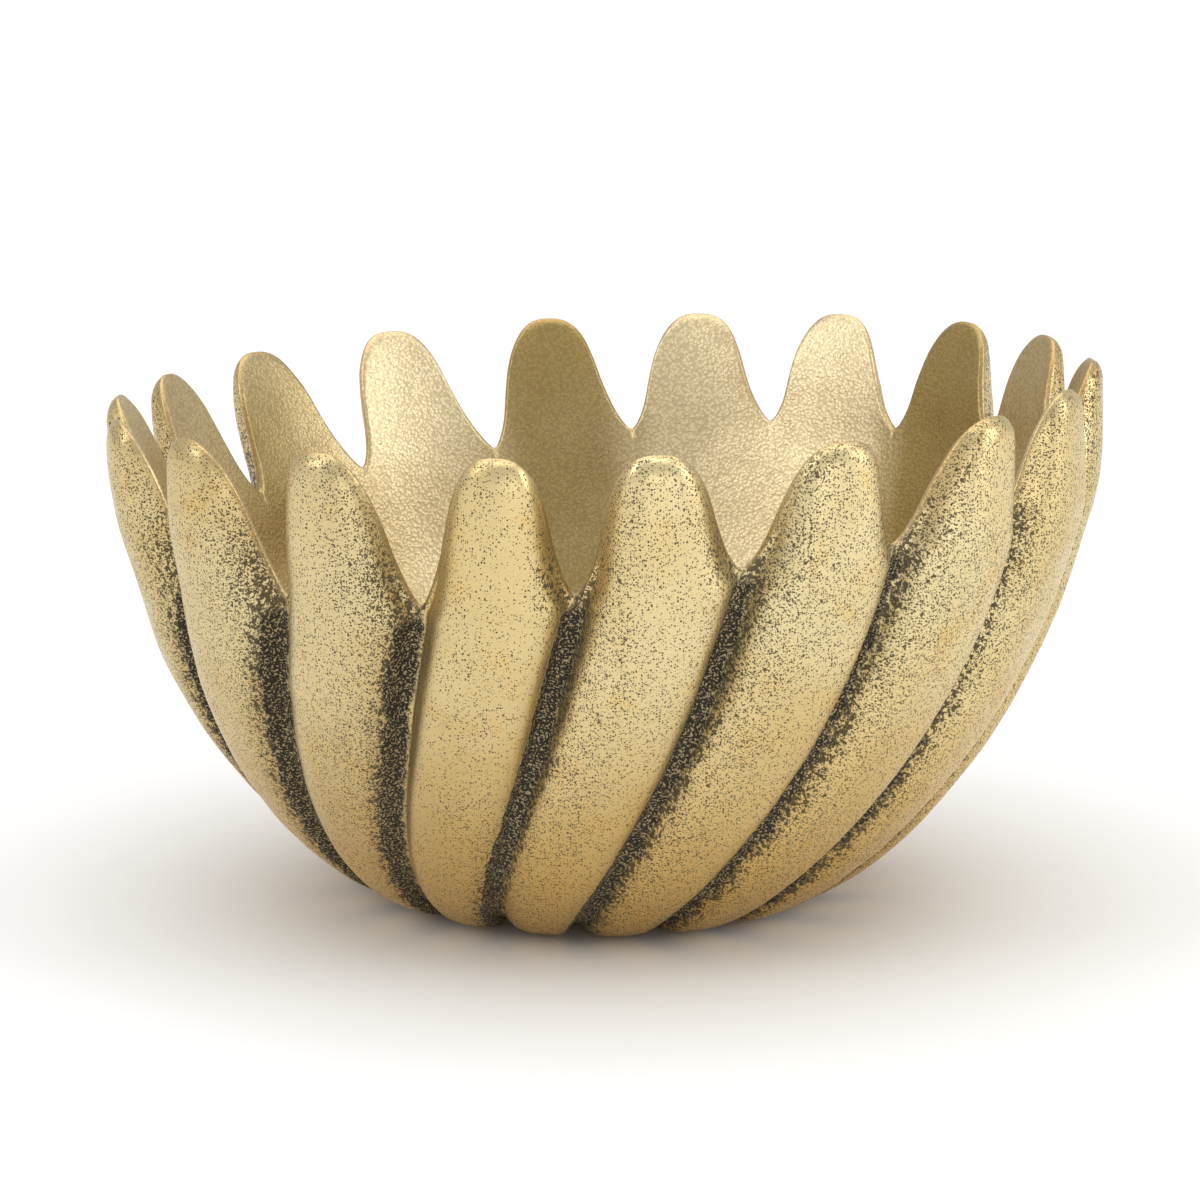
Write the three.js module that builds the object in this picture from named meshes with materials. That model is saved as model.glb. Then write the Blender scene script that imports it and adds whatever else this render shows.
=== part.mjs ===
// Scalloped bowl cast in one shell: eighteen rounded petals swirl up from a flat foot and stand free above.
// Three round pads sit under the foot. Millimetres, +Z up, origin at the middle of the floor under the bowl.
import * as THREE from "three";

// Overall form
const PETALS = 18;
const RIM_RADIUS = 117.5; // widest outside radius, along the crests of the petals
const RIM_LEVEL = 119.5; // level where the crest line stands upright
const FOOT_RADIUS = 46.5; // ring on which the lowest points of the petals lie
const FOOT_LEVEL = 0.8; // how far those lowest points stay above the floor
const FOOT_REACH = 22.9; // how far the crest line runs out level from the foot
const RIM_REACH = 62.9; // how far the crest line runs upright below the rim

// Swirl
const FIRST_TIP = 7.5; // azimuth of one petal tip, degrees round from the front
const SWIRL = 24; // degrees each petal turns between foot and tip
const SWIRL_EASE = 0.62; // below 1 the turning happens sooner, near the foot

// Rim heights: the rim is a little out of level, as hand-finished castings are
const TIP_LEVEL = 122.4; // mean level of the petal tips
const TIP_SLANT = 4.9; // the tips on the right stand this much higher, those on the left lower
const NOTCH_LEVEL = 90.5; // mean crest level beside the notches
const NOTCH_SLANT = 11; // the same slant for the notches
const NOTCH_SHIFT = 1.2; // the wall is pushed this far to the right at the level of the notches
const NOTCH_SHIFT_REACH = 13; // how far up and down from the notches that push fades out

// Hand finish: slow unevenness round the bowl, as sums of sine waves with so many periods round it
const TIP_WAVES = [
  { size: 1.05, count: 1, phase: 90 },
  { size: 0.55, count: 2, phase: 180 },
  { size: 0.45, count: 3, phase: 180 },
]; // uneven tip heights
const NOTCH_WAVES = [
  { size: 0.8, count: 2, phase: 16 },
  { size: 1, count: 5, phase: -9 },
]; // uneven notch heights
const TIP_TURNS = [
  { size: 0.64, count: 4, phase: -45 },
  { size: 0.83, count: 6, phase: -174 },
  { size: 0.56, count: 7, phase: 154 },
]; // uneven spacing of the tips, degrees
const PETAL_TURNS = [
  { size: 0.96, count: 3, phase: 154 },
  { size: 0.43, count: 4, phase: -162 },
  { size: 0.4, count: 5, phase: -46 },
]; // uneven spacing of the whole petals, degrees

// Wall: smooth and round inside; its thickness is given behind a crest and behind a groove
const CREST_AT_FOOT = 6.4;
const CREST_AT_TIP = 3.8;
const SWELL = 68; // how much the petals thicken between foot and tip
const SWELL_RISE = 3.2; // how high up the thickest place lies
const WEB_AT_FOOT = 3.4;
const WEB_AT_TIP = 2;

// Petals across their width
const LEFT_POWER = 2.7; // roundness of the left flank, which falls off gently
const RIGHT_POWER = 4.6; // roundness of the right flank, which falls off steeply
const FREE_POWER = 2.6; // roundness of both flanks where a petal stands free
const SOFT_BELOW = 25; // the flanks grow gentle from this far below the notches
const SOFT_ABOVE = 8; // to this far above them
const FREE_EASE = 0.4; // share of a free petal's height over which its flanks reach its edges
const LEFT_FOOT = 0.88; // where the left flank meets the flat bottom of a groove, as a share of half a petal
const RIGHT_FOOT = 0.95; // the same for the right flank
const VALLEY_START = 0.93; // where the hollow that joins flank and bottom starts, as a share of the flank

// Outline of a free petal
const GAP_SHARE = 0.37; // share of the half pitch by which a petal narrows above the notch
const GAP_EASE = 0.27; // share of its height over which that happens
const TIP_SQUARENESS = 2.7;
const TIP_FALL = 0.37;
const TIP_DOME = 0.84; // share of its height from which a petal rounds over towards its tip

const NOTCH_ROUND = 1.3; // how far the rounded bottom of a notch lies above the sharp one

// Rounded edge of a free petal
const OUTER_ROLL = 0.9; // width of the rounding outside
const OUTER_SHARE = 0.26; // share of the edge thickness that it takes away
const INNER_ROLL = 0.8;
const INNER_SHARE = 0.22;

// Foot and pads
const UNDERSIDE_LEVEL = 2.1; // flat disc under the bowl, recessed above the lobes
const UNDERSIDE_RADIUS = 38;
const PAD_COUNT = 3;
const PAD_RADIUS = 6;
const PAD_HEIGHT = 1.8;
const PAD_RING = 28; // radius on which the pads sit
const PAD_TURN = 42; // azimuth of the first pad, degrees round from the front
const PAD_BEVEL = 0.4;
const PAD_SIDES = 20;

// Fineness of the faceted surface
const ACROSS = [-1, -0.88, -0.74, -0.45, -0.1, 0.3, 0.62, 0.84, 0.95, 1]; // columns across a petal
const UP_WALL = [0, 0.1, 0.22, 0.36, 0.52, 0.68, 0.84, 0.95]; // rows from foot to notch
const UP_PETAL = [0, 0.12, 0.32, 0.56, 0.78, 0.93, 1]; // rows from notch to tip
const OUTLINE_STEPS = 60;
const SEARCH_STEPS = 40;

const { sin, cos, sqrt, abs, pow, exp, min, max, PI, hypot } = Math;
const radians = THREE.MathUtils.degToRad;
const mix = THREE.MathUtils.lerp;
const smoothstep = THREE.MathUtils.smoothstep;
const PITCH = 360 / PETALS;
const COLUMNS = ACROSS.length - 1;
const AROUND = COLUMNS * PETALS;

// The crest line in the plane of radius and level, from the foot to the rim.
const crestLine = new THREE.CubicBezierCurve(
  new THREE.Vector2(FOOT_RADIUS, FOOT_LEVEL),
  new THREE.Vector2(FOOT_RADIUS + FOOT_REACH, FOOT_LEVEL),
  new THREE.Vector2(RIM_RADIUS, RIM_LEVEL - RIM_REACH),
  new THREE.Vector2(RIM_RADIUS, RIM_LEVEL),
);
const CREST_LENGTH = crestLine.getLength();
// Point and outward normal of the crest line at a distance along it; above the rim level it runs straight up.
function crestAt(arc) {
  if (arc >= CREST_LENGTH) {
    return { r: RIM_RADIUS, z: RIM_LEVEL + arc - CREST_LENGTH, nr: 1, nz: 0 };
  }
  const share = max(arc, 0) / CREST_LENGTH;
  const point = crestLine.getPointAt(share);
  const tangent = crestLine.getTangentAt(share);
  return { r: point.x, z: point.y, nr: tangent.y, nz: -tangent.x };
}

function arcAtLevel(level) {
  if (level >= RIM_LEVEL) return CREST_LENGTH + level - RIM_LEVEL;
  let low = 0;
  let high = CREST_LENGTH;
  for (let step = 0; step < SEARCH_STEPS; step += 1) {
    const middle = (low + high) / 2;
    if (crestAt(middle).z < level) low = middle;
    else high = middle;
  }
  return low;
}

function slanted(level, slant, azimuth) {
  return level + slant * sin(radians(azimuth));
}

function waves(parts, azimuth) {
  return parts.reduce((sum, part) => sum + part.size * sin(radians(part.count * azimuth + part.phase)), 0);
}

// Distance along the crest line to the slanted rim at an azimuth.
function rimArc(azimuth) {
  return arcAtLevel(slanted(TIP_LEVEL, TIP_SLANT, azimuth));
}

// Degrees that a petal still has to turn at a share of the way to the rim.
function swirlAt(share) {
  return (-SWIRL * (1 + cos(PI * pow(share, SWIRL_EASE)))) / 2;
}

function tipAzimuth(petal) {
  return FIRST_TIP + PITCH * petal;
}

function tipArc(petal) {
  const azimuth = tipAzimuth(petal);
  return arcAtLevel(slanted(TIP_LEVEL, TIP_SLANT, azimuth) + waves(TIP_WAVES, azimuth));
}

// The sharp bottom of the notch on the left of a petal, seen from outside.
function notchArc(petal) {
  const azimuth = tipAzimuth(petal) - PITCH / 2;
  return arcAtLevel(slanted(NOTCH_LEVEL, NOTCH_SLANT, azimuth) + waves(NOTCH_WAVES, azimuth)) - NOTCH_ROUND;
}

// Share of the groove depth at a place across the petal: 0 on the crest, 1 in the groove. soft is 1 where the
// flanks are gentle, free is 1 where they reach the edges of a free petal.
function grooveShare(across, soft, free) {
  const power = mix(across < 0 ? LEFT_POWER : RIGHT_POWER, FREE_POWER, soft);
  const foot = mix(across < 0 ? LEFT_FOOT : RIGHT_FOOT, 1, free);
  const place = min(abs(across) / foot, 1);
  const lobe = (x) => 1 - sqrt(1 - pow(x, power));
  const slope = (power * pow(VALLEY_START, power - 1)) / (2 * sqrt(1 - pow(VALLEY_START, power)));
  const bottom = lobe(VALLEY_START) + (slope * (1 - VALLEY_START)) / 2;
  if (place <= VALLEY_START) return lobe(place) / bottom;
  const left = (1 - place) / (1 - VALLEY_START);
  return (bottom - (slope * (1 - VALLEY_START) * left * left) / 2) / bottom;
}

// Thickness behind a crest and behind a groove, at a share of the way to the rim.
function crestThickness(share) {
  return mix(CREST_AT_FOOT, CREST_AT_TIP, share) + SWELL * pow(share, SWELL_RISE) * max(1 - share, 0);
}

function webThickness(share) {
  return mix(WEB_AT_FOOT, WEB_AT_TIP, share);
}

// Quarter-round fall of an edge: 1 at the edge, 0 beyond its width.
function rollShare(distance, width) {
  if (distance >= width) return 0;
  return 1 - sqrt(1 - pow(1 - distance / width, 2));
}

// Half the width of a free petal, as a share of half the pitch, at a share of its height.
function outlineAt(height) {
  const gap = GAP_SHARE * (1 - exp(-height / GAP_EASE));
  return (1 - gap) * pow(1 - pow(height, TIP_SQUARENESS), TIP_FALL);
}

// A point of the bowl: distance along the crest line, azimuth in degrees, depth below that line, push to +X.
function place(arc, azimuth, depth, shift) {
  const crest = crestAt(arc);
  const r = crest.r - crest.nr * depth;
  const z = crest.z - crest.nz * depth;
  return [r * sin(radians(azimuth)) + shift, -r * cos(radians(azimuth)), z];
}

// Outer and inner point at a place on a petal: across it, at a share of its free height, at a distance along
// the crest line. dome runs from 0 on the crest to 1 at the groove or the edge.
function wallPoints({ petal, across, height, arc, dome }) {
  const shape = shapes[petal];
  const even = tipAzimuth(petal) + (across * PITCH) / 2;
  const along = shape.rounded(across, arc);
  const share = min(along / rimArc(even), 1);
  const turn = waves(PETAL_TURNS, even) + waves(TIP_TURNS, tipAzimuth(petal)) * height;
  const azimuth = even + swirlAt(share) + turn;
  const above = arc - shape.notchAt(across);
  const shift = NOTCH_SHIFT * exp(-pow(above / NOTCH_SHIFT_REACH, 2));
  const inner = crestThickness(share);
  const web = webThickness(share);
  const soft = smoothstep(above, -SOFT_BELOW, SOFT_ABOVE);
  const outer = (inner - web) * grooveShare(dome, soft, min(height / FREE_EASE, 1));
  const toEdge = shape.toEdge(across, along);
  const outerRoll = web * OUTER_SHARE * rollShare(toEdge, OUTER_ROLL);
  const innerRoll = web * INNER_SHARE * rollShare(toEdge, INNER_ROLL);
  return {
    outer: place(along, azimuth, outer + outerRoll, shift),
    inner: place(along, azimuth, inner - innerRoll, shift),
  };
}

// One petal laid flat: where it ends below and above, its rounded notches and the distance to its free edge.
function petalShape(petal) {
  const left = notchArc(petal);
  const right = notchArc(petal + 1);
  const tip = tipArc(petal);
  const halfWidth = radians(PITCH / 2) * (RIM_RADIUS - CREST_AT_FOOT);
  const opening = ((tip - left) * GAP_EASE) / GAP_SHARE;
  const notchAt = (across) => mix(left, right, (across + 1) / 2);
  const arcAt = (across, height) => mix(notchAt(across), tip, height);
  const rounded = (across, arc) => {
    const reach = (1 - abs(across)) * opening + max(notchAt(across) - arc, 0);
    return arc + hypot(reach, NOTCH_ROUND) - reach;
  };
  const outline = [];
  for (let side = -1; side <= 1; side += 2) {
    for (let step = 0; step <= OUTLINE_STEPS; step += 1) {
      const height = pow(step / OUTLINE_STEPS, 2);
      const across = side * outlineAt(height);
      outline.push([across * halfWidth, rounded(across, arcAt(across, height))]);
    }
  }
  const toEdge = (across, along) =>
    outline.reduce((best, [x, y]) => min(best, hypot(across * halfWidth - x, along - y)), Infinity);
  return { notchAt, arcAt, rounded, toEdge };
}

const points = [];
const faces = [];

function addPoint(point) {
  points.push(point);
  return points.length - 1;
}

// Two triangles of a quad whose corners run anticlockwise seen from outside the material.
function addQuad(a, b, c, d) {
  faces.push([a, b, c], [a, c, d]);
}

const shapes = Array.from({ length: PETALS }, (_, petal) => petalShape(petal));

// Rows of the closed wall, from the foot to the notches, shared by all the petals.
function wallRows() {
  const rows = { outer: [], inner: [] };
  [...UP_WALL, 1].forEach((rise) => {
    const outer = [];
    const inner = [];
    for (let column = 0; column < AROUND; column += 1) {
      const petal = Math.floor(column / COLUMNS);
      const across = ACROSS[column % COLUMNS];
      const arc = rise * shapes[petal].notchAt(across);
      const pair = wallPoints({ petal, across, height: 0, arc, dome: across });
      outer.push(addPoint(pair.outer));
      inner.push(addPoint(pair.inner));
    }
    rows.outer.push(outer);
    rows.inner.push(inner);
  });
  return rows;
}

const wall = wallRows();
for (let row = 0; row < UP_WALL.length; row += 1) {
  for (let column = 0; column < AROUND; column += 1) {
    const next = (column + 1) % AROUND;
    const [low, high] = [wall.outer[row], wall.outer[row + 1]];
    addQuad(low[column], low[next], high[next], high[column]);
    const [lowIn, highIn] = [wall.inner[row], wall.inner[row + 1]];
    addQuad(lowIn[next], lowIn[column], highIn[column], highIn[next]);
  }
}

// Free petals: a grid that fans out over half a disc, pulled to the outline.
function addPetal(petal) {
  const top = wall.outer.length - 1;
  const base = petal * COLUMNS;
  const rows = { outer: [], inner: [] };
  UP_PETAL.forEach((rise, row) => {
    const outer = [];
    const inner = [];
    ACROSS.forEach((side, column) => {
      if (row === 0) {
        outer.push(wall.outer[top][(base + column) % AROUND]);
        inner.push(wall.inner[top][(base + column) % AROUND]);
        return;
      }
      const discX = side * sqrt(1 - (rise * rise) / 2);
      const height = rise * sqrt(1 - (side * side) / 2);
      const span = sqrt(1 - min(height * height, 1));
      const across = span > 0 ? (discX / span) * outlineAt(height) : 0;
      const arc = shapes[petal].arcAt(across, height);
      const sideways = span > 0 ? discX / span : 0;
      const upward = max(height - TIP_DOME, 0) / (1 - TIP_DOME);
      const dome = sqrt(1 - (1 - sideways * sideways) * (1 - upward * upward)) * (side < 0 ? -1 : 1);
      const pair = wallPoints({ petal, across, height, arc, dome });
      outer.push(addPoint(pair.outer));
      inner.push(addPoint(pair.inner));
    });
    rows.outer.push(outer);
    rows.inner.push(inner);
  });
  for (let row = 0; row < UP_PETAL.length - 1; row += 1) {
    for (let column = 0; column < COLUMNS; column += 1) {
      const [low, high] = [rows.outer[row], rows.outer[row + 1]];
      addQuad(low[column], low[column + 1], high[column + 1], high[column]);
      const [lowIn, highIn] = [rows.inner[row], rows.inner[row + 1]];
      addQuad(lowIn[column + 1], lowIn[column], highIn[column], highIn[column + 1]);
    }
  }
  // The edge face follows the outline up the right side, over the tip and down the left side.
  const last = UP_PETAL.length - 1;
  const loop = [];
  for (let row = 0; row <= last; row += 1) loop.push([row, COLUMNS]);
  for (let column = COLUMNS - 1; column >= 0; column -= 1) loop.push([last, column]);
  for (let row = last - 1; row >= 0; row -= 1) loop.push([row, 0]);
  for (let step = 0; step < loop.length - 1; step += 1) {
    const [rowA, columnA] = loop[step];
    const [rowB, columnB] = loop[step + 1];
    addQuad(
      rows.outer[rowA][columnA],
      rows.inner[rowA][columnA],
      rows.inner[rowB][columnB],
      rows.outer[rowB][columnB],
    );
  }
}

for (let petal = 0; petal < PETALS; petal += 1) addPetal(petal);

// Underside: the lobes run in under the bowl and end at a flat disc.
const discRim = wall.outer[0].map((index) => {
  const [x, y] = points[index];
  const shrink = UNDERSIDE_RADIUS / hypot(x, y);
  return addPoint([x * shrink, y * shrink, UNDERSIDE_LEVEL]);
});
const discMiddle = addPoint([0, 0, UNDERSIDE_LEVEL]);
const floorMiddle = addPoint([0, 0, FOOT_LEVEL + CREST_AT_FOOT]);
for (let column = 0; column < AROUND; column += 1) {
  const next = (column + 1) % AROUND;
  addQuad(discRim[column], discRim[next], wall.outer[0][next], wall.outer[0][column]);
  faces.push([discMiddle, discRim[next], discRim[column]]);
  faces.push([floorMiddle, wall.inner[0][column], wall.inner[0][next]]);
}

function namedMesh(name, geometry, look) {
  const mesh = new THREE.Mesh(geometry, new THREE.MeshStandardMaterial(look));
  mesh.name = name;
  return mesh;
}

const shell = new THREE.BufferGeometry();
shell.setAttribute("position", new THREE.Float32BufferAttribute(points.flat(), 3));
shell.setIndex(faces.flat());
shell.computeVertexNormals();

const bowl = new THREE.Group();
bowl.name = "swirled_petal_bowl";
bowl.add(namedMesh("bowl_casting", shell, { color: 0xc2a465, roughness: 0.38, metalness: 1 }));

// Pads: round discs with a small bevel at the floor, 0.3 mm below the disc they are glued to.
const padProfile = [
  new THREE.Vector2(0, 0),
  new THREE.Vector2(PAD_RADIUS - PAD_BEVEL, 0),
  new THREE.Vector2(PAD_RADIUS, PAD_BEVEL),
  new THREE.Vector2(PAD_RADIUS, PAD_HEIGHT),
  new THREE.Vector2(0, PAD_HEIGHT),
];
for (let pad = 0; pad < PAD_COUNT; pad += 1) {
  const azimuth = radians(PAD_TURN + (360 / PAD_COUNT) * pad);
  const geometry = new THREE.LatheGeometry(padProfile, PAD_SIDES);
  geometry.rotateX(PI / 2);
  geometry.translate(PAD_RING * sin(azimuth), -PAD_RING * cos(azimuth), 0);
  const look = { color: 0x6b6660, roughness: 0.95, metalness: 0 };
  bowl.add(namedMesh("foot_pad_" + (pad + 1), geometry, look));
}

export default bowl;
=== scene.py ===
"""Looks of the swirled petal bowl: a fine casting over the CAD frame, its patina with some painted light and
shade, pads and a light studio.
"""

import math
import random

import bmesh
import bpy
import numpy as np
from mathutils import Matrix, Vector, noise


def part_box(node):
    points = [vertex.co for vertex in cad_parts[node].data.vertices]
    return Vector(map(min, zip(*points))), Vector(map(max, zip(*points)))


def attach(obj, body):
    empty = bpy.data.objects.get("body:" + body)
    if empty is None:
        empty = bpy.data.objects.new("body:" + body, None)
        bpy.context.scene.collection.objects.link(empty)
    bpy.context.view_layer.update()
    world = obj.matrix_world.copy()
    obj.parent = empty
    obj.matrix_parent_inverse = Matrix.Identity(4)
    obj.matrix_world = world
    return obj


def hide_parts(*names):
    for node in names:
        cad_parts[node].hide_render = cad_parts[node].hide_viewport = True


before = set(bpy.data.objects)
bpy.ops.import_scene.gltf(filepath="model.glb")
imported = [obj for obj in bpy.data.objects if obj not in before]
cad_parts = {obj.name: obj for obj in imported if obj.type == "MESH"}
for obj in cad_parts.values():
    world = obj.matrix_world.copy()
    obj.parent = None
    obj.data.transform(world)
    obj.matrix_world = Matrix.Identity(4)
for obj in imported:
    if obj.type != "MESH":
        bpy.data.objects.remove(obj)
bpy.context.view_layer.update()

MM = 0.001

# ---------------------------------------------------------------- driving dimensions, millimetres and degrees

PETALS = 18
RIM_RADIUS = 117.5
RIM_LEVEL = 119.5
FOOT_RADIUS = 46.5
FOOT_LEVEL = 0.8
FOOT_REACH = 22.9
RIM_REACH = 62.9

FIRST_TIP = 7.5
SWIRL = 24
SWIRL_EASE = 0.62

TIP_LEVEL = 122.4
TIP_SLANT = 4.9
NOTCH_LEVEL = 90.5
NOTCH_SLANT = 11
NOTCH_SHIFT = 1.2  # the whole rim leans: the bottoms of the notches lie this much to the right of the middle
NOTCH_SHIFT_REACH = 13  # how far along the wall and the petal that shift fades out

# Slow unevenness round the bowl, each wave as size, count and phase in degrees. The waves are least-squares
# fits, made by a separate program, to offsets of tips, notches and grooves measured in the photograph.
TIP_WAVES = [(1.05, 1, 90), (0.55, 2, 180), (0.45, 3, 180)]
NOTCH_WAVES = [(0.8, 2, 16), (1.0, 5, -9)]
TIP_TURNS = [(0.64, 4, -45), (0.83, 6, -174), (0.56, 7, 154)]
PETAL_TURNS = [(0.96, 3, 154), (0.43, 4, -162), (0.4, 5, -46)]

CREST_AT_FOOT = 6.4
CREST_AT_TIP = 3.8
SWELL = 68
SWELL_RISE = 3.2
WEB_AT_FOOT = 3.4
WEB_AT_TIP = 2

LEFT_POWER = 2.7  # a petal's left flank is gentle, its right flank steep
RIGHT_POWER = 4.6
FREE_POWER = 2.6  # both flanks are this gentle where a petal stands free
SOFT_BELOW = 25  # they grow gentle from this far below the notches to this far above them
SOFT_ABOVE = 8
FREE_EASE = 0.4  # share of a free petal's height over which its flanks reach its edges
LEFT_FOOT = 0.88  # where each flank meets the flat bottom of a groove, as a share of half a petal
RIGHT_FOOT = 0.95
VALLEY_START = 0.93  # where the hollow that joins flank and bottom starts, as a share of the flank

GAP_SHARE = 0.37
GAP_EASE = 0.27
TIP_SQUARENESS = 2.7
TIP_FALL = 0.37
TIP_DOME = 0.84
NOTCH_ROUND = 1.3  # how far the rounded bottom of a notch lies above the sharp one

OUTER_ROLL = 0.9
OUTER_SHARE = 0.26
INNER_ROLL = 0.8
INNER_SHARE = 0.22
EDGE_BULGE = 0.2  # how far the rounded edge stands out between the outside and the inside

UNDERSIDE_LEVEL = 2.1
UNDERSIDE_RADIUS = 38

# Per petal, from 0 to 1: the painted light and shade of its inside panel, from darker to paler, and how
# thickly its outside is speckled.
# The seeds are not arbitrary: a separate program searched for draws near tones judged from the photograph.
LINING_SHADING_SEED = 522616
WEAR_SEED = 446216
# Patina lies on the right flanks of the petals on the left of the bowl, on the left flanks elsewhere; the
# same share also darkens the bare gold of those left petals as painted shade
PATINA_TURN = (0.14, 0.44)

# Cast unevenness: slow hollows and swellings in the surface
WOBBLE = 0.22
WOBBLE_SIZE = 17
SMALL_WOBBLE_SHARE = 0.5
SMALL_WOBBLE_COUNT = 2.3  # small hollows for each slow one

COLUMNS = 36
WALL_ROWS = 36
PETAL_ROWS = 24
EDGE_STEPS = 4
COLUMN_CROWDING = 0.45  # how much closer together the columns lie towards the grooves
WALL_ROW_EASE = 0.92
PETAL_ROW_EASE = 1.15
EDGE_TAPER = 3  # columns over which the edge's bulge grows from the notch
UNDERSIDE_RINGS = (1, 0.6, 0.3, 0.08)  # shares of the disc's radius, from the wall to the middle
FLOOR_RINGS = (0.8, 0.5, 0.25, 0.08)
WELD_DISTANCE = 0.004
TINY = 1e-9

# What the materials are told about the flat discs in the middle, which lie far from every groove and edge
DISC_FACTS = {
    "from_left": 8,
    "to_right": 8,
    "across": 0,
    "share": 0,
    "to_edge": 50,
    "above": -90,
    "lining_shading": 0.5,
    "wear": 0.5,
    "turned": 0,
}

PITCH = 360 / PETALS


# ---------------------------------------------------------------- shape of the casting


def mix(a, b, t):
    return a + (b - a) * t


def bezier_table(steps=2000):
    """Points of the crest line as radius and level, its direction there, and the distance along it."""
    t = np.linspace(0, 1, steps)[:, None]
    a = np.array((FOOT_RADIUS, FOOT_LEVEL))
    b = np.array((FOOT_RADIUS + FOOT_REACH, FOOT_LEVEL))
    c = np.array((RIM_RADIUS, RIM_LEVEL - RIM_REACH))
    d = np.array((RIM_RADIUS, RIM_LEVEL))
    point = (1 - t) ** 3 * a + 3 * (1 - t) ** 2 * t * b + 3 * (1 - t) * t**2 * c + t**3 * d
    slope = (1 - t) ** 2 * (b - a) + 2 * (1 - t) * t * (c - b) + t**2 * (d - c)
    slope /= np.linalg.norm(slope, axis=1)[:, None]
    length = np.concatenate([[0], np.cumsum(np.linalg.norm(np.diff(point, axis=0), axis=1))])
    return point, slope, length


CREST_POINT, CREST_SLOPE, CREST_ARC = bezier_table()
CREST_LENGTH = CREST_ARC[-1]


def crest_at(arc):
    """Radius, level, and the outward normal's two parts at distances along the crest line."""
    r = np.interp(arc, CREST_ARC, CREST_POINT[:, 0])
    z = np.interp(arc, CREST_ARC, CREST_POINT[:, 1]) + np.maximum(arc - CREST_LENGTH, 0)
    out = np.interp(arc, CREST_ARC, CREST_SLOPE[:, 1])
    up = -np.interp(arc, CREST_ARC, CREST_SLOPE[:, 0])
    return r, z, out, up


def arc_at_level(level):
    low = np.interp(level, CREST_POINT[:, 1], CREST_ARC)
    return low + np.maximum(level - RIM_LEVEL, 0)


def slanted(level, slant, azimuth):
    return level + slant * np.sin(np.radians(azimuth))


def waves(parts, azimuth):
    return sum(size * np.sin(np.radians(count * azimuth + phase)) for size, count, phase in parts)


def rim_arc(azimuth):
    return arc_at_level(slanted(TIP_LEVEL, TIP_SLANT, azimuth))


def swirl_at(share):
    return -SWIRL * (1 + np.cos(math.pi * share**SWIRL_EASE)) / 2


def tip_azimuth(petal):
    return FIRST_TIP + PITCH * petal


def tip_arc(petal):
    azimuth = tip_azimuth(petal)
    return arc_at_level(slanted(TIP_LEVEL, TIP_SLANT, azimuth) + waves(TIP_WAVES, azimuth))


def notch_arc(petal):
    """The sharp bottom of the notch on the left of a petal, seen from outside."""
    azimuth = tip_azimuth(petal) - PITCH / 2
    level = slanted(NOTCH_LEVEL, NOTCH_SLANT, azimuth) + waves(NOTCH_WAVES, azimuth)
    return arc_at_level(level) - NOTCH_ROUND


def groove_share(across, soft, free):
    """Share of the groove depth at places across a petal: 0 on the crest, 1 in the groove.

    soft is 1 where the flanks are gentle, free is 1 where they reach the edges of a free petal.
    """
    power = mix(np.where(across < 0, LEFT_POWER, RIGHT_POWER), FREE_POWER, soft)
    foot = mix(np.where(across < 0, LEFT_FOOT, RIGHT_FOOT), 1, free)
    place = np.minimum(np.abs(across) / foot, 1)
    start = np.minimum(place, VALLEY_START)
    lobe = 1 - np.sqrt(1 - start**power)
    last = 1 - np.sqrt(1 - VALLEY_START**power)
    slope = power * VALLEY_START ** (power - 1) / (2 * np.sqrt(1 - VALLEY_START**power))
    width = 1 - VALLEY_START
    left = np.clip((1 - place) / width, 0, 1)
    bottom = last + slope * width / 2
    valley = bottom - slope * width * left**2 / 2
    return np.where(place <= VALLEY_START, lobe, valley) / bottom


def crest_thickness(share):
    swell = SWELL * share**SWELL_RISE * np.maximum(1 - share, 0)
    return mix(CREST_AT_FOOT, CREST_AT_TIP, share) + swell


def web_thickness(share):
    return mix(WEB_AT_FOOT, WEB_AT_TIP, share)


def roll_share(distance, width):
    left = np.clip(1 - distance / width, 0, 1)
    return 1 - np.sqrt(1 - left**2)


def outline_at(height):
    gap = GAP_SHARE * (1 - np.exp(-height / GAP_EASE))
    return (1 - gap) * (1 - np.clip(height, 0, 1) ** TIP_SQUARENESS) ** TIP_FALL


def place_at(arc, azimuth, depth):
    r, z, out, up = crest_at(arc)
    r = r - out * depth
    z = z - up * depth
    turn = np.radians(azimuth)
    return np.stack([r * np.sin(turn), -r * np.cos(turn), z], axis=-1)


def spaced_columns():
    """Places across a petal, closer together towards the grooves."""
    even = np.linspace(-1, 1, COLUMNS + 1)
    return (1 - COLUMN_CROWDING) * even + COLUMN_CROWDING * np.sin(even * math.pi / 2)


def shading_and_wear_of_petals(seed):
    """One number from 0 to 1 for each petal."""
    draw = random.Random(seed)
    return [draw.random() for _ in range(PETALS)]


# Painted light and shade of each inside panel, and how thickly each outside is speckled
LINING_SHADING = shading_and_wear_of_petals(LINING_SHADING_SEED)
WEAR = shading_and_wear_of_petals(WEAR_SEED)


def smooth(value, low, high):
    t = np.clip((value - low) / (high - low), 0, 1)
    return t * t * (3 - 2 * t)


def blended(values, petal, across):
    """A petal's own value over most of its width, meeting its neighbours' halfway at the grooves."""
    beside = np.where(across < 0, values[petal - 1], values[(petal + 1) % PETALS])
    return mix(values[petal], beside, 0.5 * smooth(np.abs(across), 0.5, 1))


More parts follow.
